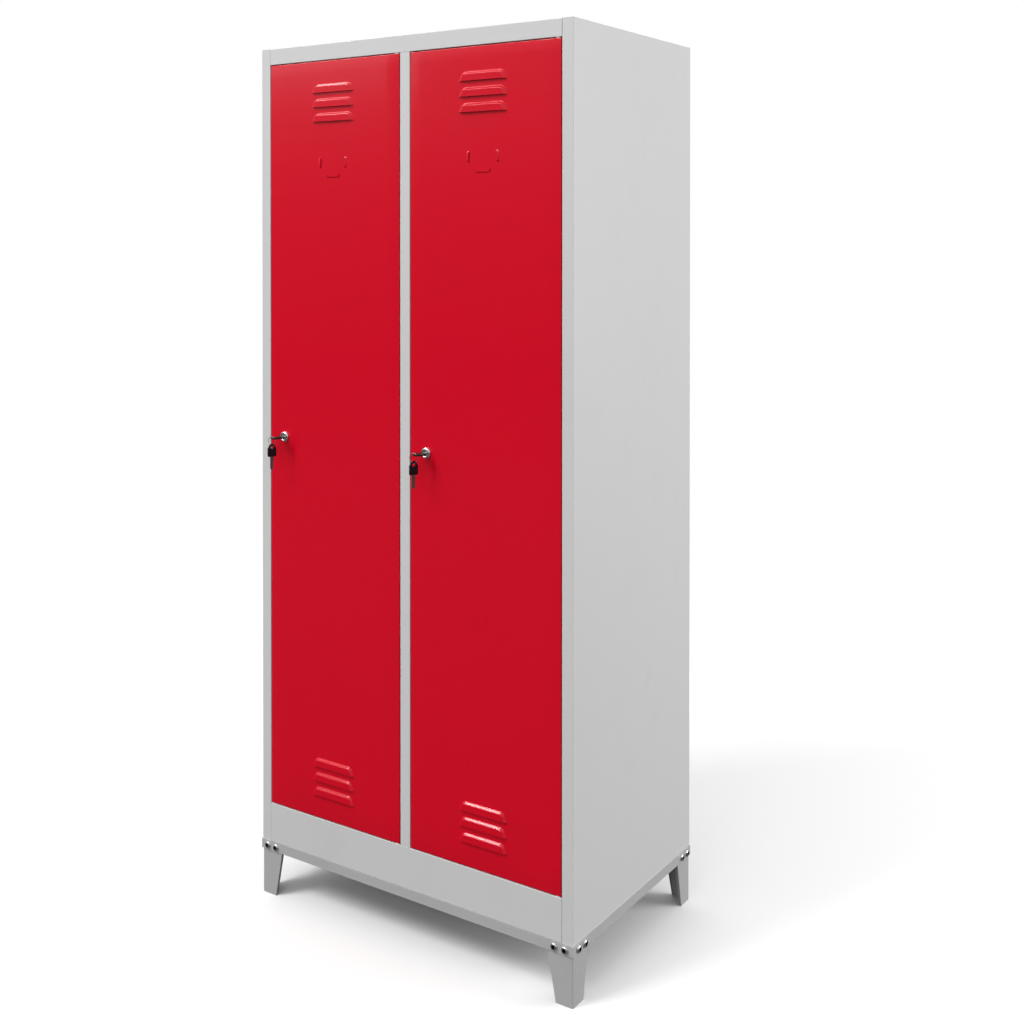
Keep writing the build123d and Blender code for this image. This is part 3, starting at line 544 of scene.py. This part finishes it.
# leg bolts: a domed head with a hexagon socket, whose rows run from the socket's middle over the dome to the
# shank's end; fromCorner holds the distances of a leg's two bolts from the body's corner
bolt = {
    "head": 7.5 * mm, "height": 4.4 * mm, "rim": 1.0 * mm, "edge": 0.15 * mm, "flat": 4.1 * mm,
    "socket": 3.0 * mm, "socketDepth": 3.2 * mm, "socketCone": 0.5 * mm, "socketRows": 4,
    "chamferDeep": 0.3 * mm, "chamferWide": 0.25 * mm,
    "shank": 4.0 * mm, "grip": 12 * mm, "tipLength": 0.4 * mm, "tipTaper": 0.6 * mm,
    "domeSteps": 9, "columns": 36, "sharpAngle": 40, "turnEach": 2.4,
    "fromCorner": (17 * mm, 41 * mm),
}


# radius of a hexagon at each angle: half its width across flats, over the cosine of the angle from the middle
# of the nearest flat
def hexagon(angles, flats):
    sector = (angles + math.pi / 6) % (math.pi / 3) - math.pi / 6
    return flats / np.cos(sector)


def makeLegBolts():
    b = bolt
    dome = np.linspace(0, 1, b["domeSteps"])
    domeRadius = b["flat"] + (b["head"] - b["flat"]) * np.sin(dome * math.pi / 2)
    domeHeight = b["rim"] + (b["height"] - b["rim"]) * np.cos(dome * math.pi / 2)
    profile = [
        (b["height"] - b["socketDepth"] - b["socketCone"], 0),
        (b["height"] - b["socketDepth"], b["socket"]),
        (b["height"] - b["chamferDeep"], b["socket"]),
        (b["height"], b["socket"] + b["chamferWide"]),
        *zip(domeHeight, domeRadius),
        (b["edge"], b["head"]),
        (0, b["head"] - b["edge"]),
        (0, b["shank"]),
        (b["tipLength"] - b["grip"], b["shank"]),
        (-b["grip"], b["shank"] - b["tipTaper"]),
        (-b["grip"], 0),
    ]
    inSocket = np.arange(len(profile)) < b["socketRows"]

    def radiusAt(along, radius, angles):
        return np.where(inSocket[:, None], radius / b["socket"] * hexagon(angles, b["socket"]), radius)

    low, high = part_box("leg_bolts")
    front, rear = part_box("front_base_bar"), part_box("rear_base_bar")
    z = (low.z + high.z) / 2
    spots = [(hand * (bodyHigh.x - d), y, (0, way, 0)) for hand in (-1, 1) for d in b["fromCorner"]
             for y, way in ((front[0].y, -1), (rear[1].y, 1))]
    spots += [(hand * front[1].x, y, (hand, 0, 0)) for hand in (-1, 1) for d in b["fromCorner"]
              for y in (bodyLow.y + d, bodyHigh.y - d)]
    surfaces = [turned(profile, (x, y, z), way, b["columns"], radiusAt, b["turnEach"] * i)
                for i, (x, y, way) in enumerate(spots)]
    # the socket's rows get a cavity of one, so the metal finish paints shade into the hexagon recess
    cavity = np.tile(np.repeat(inSocket, b["columns"]).astype(float), len(surfaces))
    makePiece("legBolts", *joinSurfaces(surfaces), "chrome", "cabinet", ("leg_bolts",),
              b["sharpAngle"], cavity)


# lock housing: a domed rim proud of the door, and behind it the threaded barrel; the plug sits in its bore
lock = {
    "rim": 11.5 * mm, "proud": 6.0 * mm, "edge": 1.4 * mm, "lip": 8.0 * mm, "bore": 6.56 * mm,
    "throatDeep": 1.1 * mm, "throatShallow": 0.3 * mm, "throatWide": 0.7 * mm, "rimEdge": 0.2 * mm,
    "barrel": 9.0 * mm, "barrelLength": 19.2 * mm, "barrelTaper": 0.5 * mm,
    "threadStart": 0.6 * mm, "threadEnd": 0.4 * mm, "plain": 0.5 * mm, "near": 0.1 * mm,
    "pitch": 1.0 * mm, "threadDepth": 0.35 * mm, "rowsPerPitch": 6,
    "domeSteps": 8, "columns": 48, "sharpAngle": 40,
}


# the thread is a triangle wave along the barrel that moves on by one pitch in each turn
def makeLockHousing(side):
    k = lock
    low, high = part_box(side + "_lock_housing")
    centre = ((low.x + high.x) / 2, bodyLow.y, (low.z + high.z) / 2)
    dome = np.linspace(0, 1, k["domeSteps"])
    domeRadius = k["lip"] + (k["rim"] - k["lip"]) * np.sin(dome * math.pi / 2)
    domeHeight = k["edge"] + (k["proud"] - k["edge"]) * np.cos(dome * math.pi / 2)
    rows = np.arange(k["threadStart"], k["barrelLength"] - k["threadEnd"], k["pitch"] / k["rowsPerPitch"])
    throat = (k["proud"] - k["throatDeep"], k["bore"])
    profile = [
        throat,
        (k["proud"] - k["throatShallow"], k["bore"] + k["throatWide"]),
        *zip(domeHeight, domeRadius),
        (k["rimEdge"], k["rim"]),
        (0, k["rim"] - k["rimEdge"]),
        (0, k["barrel"]),
        *((-row, k["barrel"]) for row in rows),
        (-k["barrelLength"], k["barrel"] - k["barrelTaper"]),
        (-k["barrelLength"], k["bore"]),
        throat,
    ]

    def radiusAt(along, radius, angles):
        phase = (along / k["pitch"] + angles / (2 * math.pi)) % 1
        cut = k["threadDepth"] * (1 - np.abs(2 * phase - 1))
        return radius - np.where((along < -k["plain"]) & (radius > k["barrel"] - k["near"]), cut, 0)

    surface = turned(profile, centre, (0, -1, 0), k["columns"], radiusAt)
    makePiece(side + "LockHousing", *surface, "chrome", side + "_door", (side + "_lock_housing",),
              k["sharpAngle"])


# keys: the bow is a rounded rectangle carried round from the ring hole to the outline, the blade a bar whose
# upper edge dips at each bitting notch; local x across, y along the blade, z through the thickness
key = {
    "width": 20.0 * mm, "reach": 20.5 * mm, "head": 7.5 * mm, "hole": 3.5 * mm, "thickness": 3.0 * mm,
    "corner": 2.5 * mm, "soften": 0.8 * mm,
    "headSteps": 25, "cornerSteps": 6, "sideSteps": 8, "topSteps": 10, "softSteps": 5,
    "blade": 8.0 * mm, "bladeThickness": 1.8 * mm, "start": 11.5 * mm, "end": 48.5 * mm, "bladeSteps": 100,
    "tip": 3.0 * mm, "tipRise": 2.2 * mm, "chamfer": 0.3 * mm,
    "groove": 0.35 * mm, "grooveLines": (-1.3 * mm, -0.9 * mm, 0.5 * mm, 0.9 * mm),
    "notches": [(44.5 * mm, 1.6 * mm), (40.5 * mm, 0.8 * mm), (36.5 * mm, 2.0 * mm), (32.5 * mm, 1.2 * mm)],
    "notchReach": 1.9 * mm, "notchSlope": 1.2 * mm,
    "spareYaw": 22, "sharpAngle": 38,   # degrees
}


# outline of the bow about the ring hole, point by point: the round head, then the square shoulders
def bowOutline():
    c, half, reach = key["corner"], key["width"] / 2, key["reach"]
    angles = np.linspace(math.radians(-180), 0, key["headSteps"])
    head = np.stack([key["head"] * np.cos(angles), key["head"] * np.sin(angles)], -1)
    turn = np.linspace(0, math.pi / 2, key["cornerSteps"])
    shoulder = np.stack([half - c + c * np.sin(turn), c - c * np.cos(turn)], -1)
    foot = np.stack([half - c + c * np.cos(turn), reach - c + c * np.sin(turn)], -1)
    edge = np.linspace(shoulder[-1], foot[0], key["sideSteps"])[1:-1]
    right = np.concatenate([shoulder, edge, foot])
    top = np.linspace(right[-1], right[-1] * (-1, 1), key["topSteps"])[1:-1]
    return np.concatenate([head, right, top, right[::-1] * (-1, 1)])


# bow: along each ray from the ring hole to the outline, a section with rounded edges at both ends
def bowSurface():
    outline = bowOutline()
    inner = outline / np.linalg.norm(outline, axis=1)[:, None] * key["hole"]
    e, t = key["soften"], key["thickness"] / 2
    arc = np.linspace(0, math.pi / 2, key["softSteps"])
    spread = outline - inner
    reach = np.linalg.norm(spread, axis=1)[None, :]
    out = np.concatenate([e - e * np.cos(arc), e * np.sin(arc)])[:, None]
    rise = np.concatenate([t - e + e * np.sin(arc), t - e + e * np.cos(arc)])
    isOuter = np.arange(len(out))[:, None] >= len(arc)
    share = np.where(isOuter, (reach - e + out) / reach, out / reach)
    height = np.broadcast_to(rise[:, None, None], share.shape + (1,))
    half = np.concatenate([inner + share[..., None] * spread, height], -1)
    loop = np.concatenate([half, half[::-1] * (1, 1, -1)])
    return loop.reshape(-1, 3), gridQuads(*loop.shape[:2], True, True)


# blade: a grooved and chamfered section carried along y, its edges drawn in by the notches and the tip
def bladeSurface():
    y = np.unique(np.concatenate([np.linspace(key["start"], key["end"], key["bladeSteps"]),
                                  [key["end"] - key["tip"]]]))
    cut = np.zeros_like(y)
    for place, depth in key["notches"]:
        share = np.clip((key["notchReach"] - np.abs(y - place)) / key["notchSlope"], 0, 1)
        cut = np.maximum(cut, depth * share)
    tip = np.clip((y - key["end"] + key["tip"]) / key["tip"], 0, 1) ** 2 * key["tipRise"]
    half, t, g, c = key["blade"] / 2, key["bladeThickness"] / 2, key["groove"], key["chamfer"]
    low, high = -half + tip, half - np.maximum(cut, tip)
    x = [low, low + c, *key["grooveLines"], high - c, high]
    z = [t - c, t, t, t - g, t - g, t, t, t - c]
    upper = np.stack([np.stack(np.broadcast_arrays(a, y, b), -1) for a, b in zip(x, z)])
    loop = np.concatenate([upper, upper[::-1] * (1, 1, -1)])
    rows, columns = len(loop), len(y)
    walls = gridQuads(rows, columns, closeRows=True)
    cap = np.arange(rows // 2 - 1)
    caps = np.stack([cap, cap + 1, rows - 2 - cap, rows - 1 - cap], -1) * columns
    return loop.reshape(-1, 3), np.concatenate([walls, caps[:, ::-1], caps + columns - 1])


# ring: two turns of flattened wire side by side, like a split ring; a small ellipse carried along the coil,
# which shrinks at both ends
ring = {"radius": 10.0 * mm, "turns": 2.0, "spread": 0.28 * mm, "wide": 0.3 * mm, "tall": 0.55 * mm,
        "rows": 145, "columns": 8, "startAngle": 200, "endSize": 0.35, "endRate": 60, "crossRate": 8,
        "sharpAngle": 50}


def ringSurface(centre):
    rows, columns = ring["rows"], ring["columns"]
    s = np.linspace(0, 1, rows)[:, None]
    a = np.linspace(0, 2 * math.pi, columns + 1)[:-1][None, :]
    angle = math.radians(ring["startAngle"]) + s * ring["turns"] * 2 * math.pi
    shrink = np.clip(np.minimum(s, 1 - s) * ring["endRate"], ring["endSize"], 1)
    side = ring["spread"] * np.clip((s - 0.5) * ring["crossRate"], -1, 1)
    radius = ring["radius"] + ring["tall"] * np.cos(a) * shrink
    y = side + ring["wide"] * np.sin(a) * shrink
    points = np.array(centre) + np.stack([radius * np.cos(angle), y + 0 * angle, radius * np.sin(angle)], -1)
    quads = gridQuads(rows, columns, closeColumns=True)
    caps = np.array([[7, 6, 5, 4], [7, 4, 3, 0], [3, 2, 1, 0]])   # three quads close an eight-sided end
    return points.reshape(-1, 3), np.concatenate([quads, caps, caps[:, ::-1] + (rows - 1) * columns])


# local key points to their place: turned about the blade, then laid along the given directions from the hole
def placed(points, hole, across, along, yaw):
    through = np.cross(across, along)
    c, s = math.cos(yaw), math.sin(yaw)
    x, y, z = points.T
    x, z = c * x + s * z, c * z - s * x
    return np.array(hole) + x[:, None] * across + y[:, None] * along + z[:, None] * through


# the key lies level in its lock and the spare hangs, blade down, from the ring; both are bow and blade
def makeKeys(side):
    ringLow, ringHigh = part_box(side + "_key_ring")
    bowLow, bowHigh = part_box(side + "_key_bow")
    spareLow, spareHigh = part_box(side + "_spare_key_bow")
    hole = ((bowLow.x + bowHigh.x) / 2, bowLow.y + key["head"], (bowLow.z + bowHigh.z) / 2)
    spareHole = ((spareLow.x + spareHigh.x) / 2, (spareLow.y + spareHigh.y) / 2, spareHigh.z - key["head"])
    x, y, z = np.eye(3)
    for name, body, place in (("Key", "_key", (hole, x, y, 0.0)),
                              ("SpareKey", "_spare_key", (spareHole, y, -z, math.radians(key["spareYaw"])))):
        for part, (points, quads), slot, look in (("Bow", bowSurface(), "black_plastic", "black_plastic"),
                                                  ("Blade", bladeSurface(), "steel", "darkSteel")):
            node = side + body + "_" + part.lower()
            makePiece(side + name + part, placed(points, *place), quads, slot, side + body, (node,),
                      key["sharpAngle"], look=look)
    coil = ringSurface((ringLow + ringHigh) / 2)
    makePiece(side + "KeyRing", *coil, "steel", side + "_ring", (side + "_key_ring",), ring["sharpAngle"],
              look="darkSteel")


makeLegBolts()
for side in sides:
    makeLockHousing(side)
    makeKeys(side)
print("bolts, locks and keys made")


# stage: a pale floor that fades into the white around it, and soft lights from above and both sides; only the
# camera sees the white and the pale floor, and the locker mirrors a darker floor and sky and is lit by them
studio = {
    "floorRadius": 14.0, "floorEven": 5, "floorMiddle": 0.02, "floorRings": 40, "floorSides": 96,
    "fadeStart": 1.6, "fadeEnd": 4.0, "floorSeen": 0.93, "floorBounce": 0.09, "floorRoughness": 0.9,
    "skyRamp": [(0.0, 0.1), (0.5, 0.12), (0.56, 0.3), (0.66, 0.75), (1.0, 0.8)],   # brightness, from below up
    # a light with noGlint isn't mirrored in the doors, and one with onlyGlint shows only in reflections
    "lights": [
        {"name": "keyLeft", "at": (-3.2, -5.5, 7.4), "to": (0.0, 0.0, 1.0),
         "size": (3.4, 3.4), "power": 490.0},
        {"name": "lowFront", "at": (0.6, -6.0, 1.0), "to": (0.0, 0.0, 0.6),
         "size": (3.0, 1.6), "power": 68.0, "noGlint": True},
        {"name": "topFront", "at": (0.4, -2.6, 4.3), "to": (0.0, 0.0, 1.6),
         "size": (2.4, 1.0), "power": 12.0},
        {"name": "louvreGlint", "at": (-1.9, -1.2, 3.7), "to": (-0.1, -0.25, 1.5),
         "size": (0.9, 0.5), "power": 34.0, "onlyGlint": True},
        {"name": "farLeft", "at": (-4.7, -4.2, 3.2), "to": (0.0, -0.2, 1.6),
         "size": (2.6, 1.5), "power": 12.0},
        {"name": "sideRight", "at": (4.8, 2.6, 1.7), "to": (0.4, 0.0, 0.8),
         "size": (3.0, 3.0), "power": 225.0},
    ],
}


def grey(level):
    return [level] * 3 + [1]


# one shader for the camera's own rays, and another for all the rest
def seenOrNot(tree, rest, seen):
    mix = addNode(tree, "ShaderNodeMixShader")
    tree.links.new(addNode(tree, "ShaderNodeLightPath").outputs["Is Camera Ray"], mix.inputs["Fac"])
    tree.links.new(rest, mix.inputs[1])
    tree.links.new(seen, mix.inputs[2])
    return mix.outputs[0]


def makeWorld():
    world = bpy.data.worlds.new("studio")
    world.use_nodes = True
    tree = world.node_tree
    tree.nodes.clear()
    split = addNode(tree, "ShaderNodeSeparateXYZ")
    tree.links.new(addNode(tree, "ShaderNodeTexCoord").outputs["Generated"], split.inputs[0])
    levels = setInputs(addNode(tree, "ShaderNodeMapRange"), From_Min=-1.0, From_Max=1.0)
    tree.links.new(split.outputs["Z"], levels.inputs["Value"])
    ramp = addNode(tree, "ShaderNodeValToRGB")
    stops = ramp.color_ramp.elements
    stops[0].color = grey(studio["skyRamp"][0][1])
    stops[1].color = grey(studio["skyRamp"][-1][1])
    for place, level in studio["skyRamp"][1:-1]:
        stops.new(place).color = grey(level)
    tree.links.new(levels.outputs["Result"], ramp.inputs["Fac"])
    around = addNode(tree, "ShaderNodeBackground")
    tree.links.new(ramp.outputs["Color"], around.inputs["Color"])
    white = setInputs(addNode(tree, "ShaderNodeBackground"), Color=grey(1))
    surface = seenOrNot(tree, around.outputs[0], white.outputs[0])
    tree.links.new(surface, addNode(tree, "ShaderNodeOutputWorld").inputs["Surface"])
    bpy.context.scene.world = world


def makeFloorMaterial():
    material, tree, shader = newMaterial("paleFloor")
    setInputs(shader, Base_Color=grey(studio["floorBounce"]), Roughness=studio["floorRoughness"],
              Specular_IOR_Level=0.0)
    pale = setInputs(addNode(tree, "ShaderNodeBsdfDiffuse"), Color=grey(studio["floorSeen"]))
    distance = addNode(tree, "ShaderNodeVectorMath", operation="LENGTH")
    tree.links.new(addNode(tree, "ShaderNodeTexCoord").outputs["Object"], distance.inputs[0])
    fade = addNode(tree, "ShaderNodeMapRange", interpolation_type="SMOOTHSTEP")
    setInputs(fade, From_Min=studio["fadeStart"], From_Max=studio["fadeEnd"])
    tree.links.new(distance.outputs["Value"], fade.inputs["Value"])
    faded = addNode(tree, "ShaderNodeMixShader")
    tree.links.new(fade.outputs["Result"], faded.inputs["Fac"])
    tree.links.new(pale.outputs[0], faded.inputs[1])
    tree.links.new(addNode(tree, "ShaderNodeEmission").outputs[0], faded.inputs[2])
    surface = seenOrNot(tree, shader.outputs[0], faded.outputs[0])
    tree.links.new(surface, tree.nodes["Material Output"].inputs["Surface"])
    return material


# floor: a disc, radius by angle, whose material turns from painted floor to plain white light with radius
def makeFloor():
    count = studio["floorSides"]
    even = np.linspace(studio["floorMiddle"], studio["floorEven"], studio["floorRings"])
    radii = np.concatenate([even, [studio["floorRadius"]]])[:, None]
    angles = np.linspace(0, 2 * math.pi, count, endpoint=False)[None, :]
    x, y = radii * np.cos(angles), radii * np.sin(angles)
    points = np.stack([x, y, np.zeros_like(x)], -1)
    middle = list(range(count - 1, -1, -1))   # one face closes the disc's middle
    faces = gridQuads(len(radii), count, closeColumns=True).tolist() + [middle]
    mesh = bpy.data.meshes.new("floor")
    mesh.from_pydata(points.reshape(-1, 3).tolist(), [], faces)
    floor = bpy.data.objects.new("floor", mesh)
    bpy.context.scene.collection.objects.link(floor)
    mesh.materials.append(makeFloorMaterial())


def makeLights():
    for lamp in studio["lights"]:
        data = bpy.data.lights.new(lamp["name"], "AREA")
        data.shape = "RECTANGLE"
        data.size, data.size_y = lamp["size"]
        data.energy = lamp["power"]
        light = bpy.data.objects.new(lamp["name"], data)
        light.location = lamp["at"]
        aim = Vector(lamp["to"]) - Vector(lamp["at"])
        light.rotation_euler = aim.to_track_quat("-Z", "Y").to_euler()
        light.visible_diffuse = not lamp.get("onlyGlint", False)
        light.visible_glossy = not lamp.get("noGlint", False)
        bpy.context.scene.collection.objects.link(light)


makeWorld()
makeFloor()
makeLights()
print("stage set")
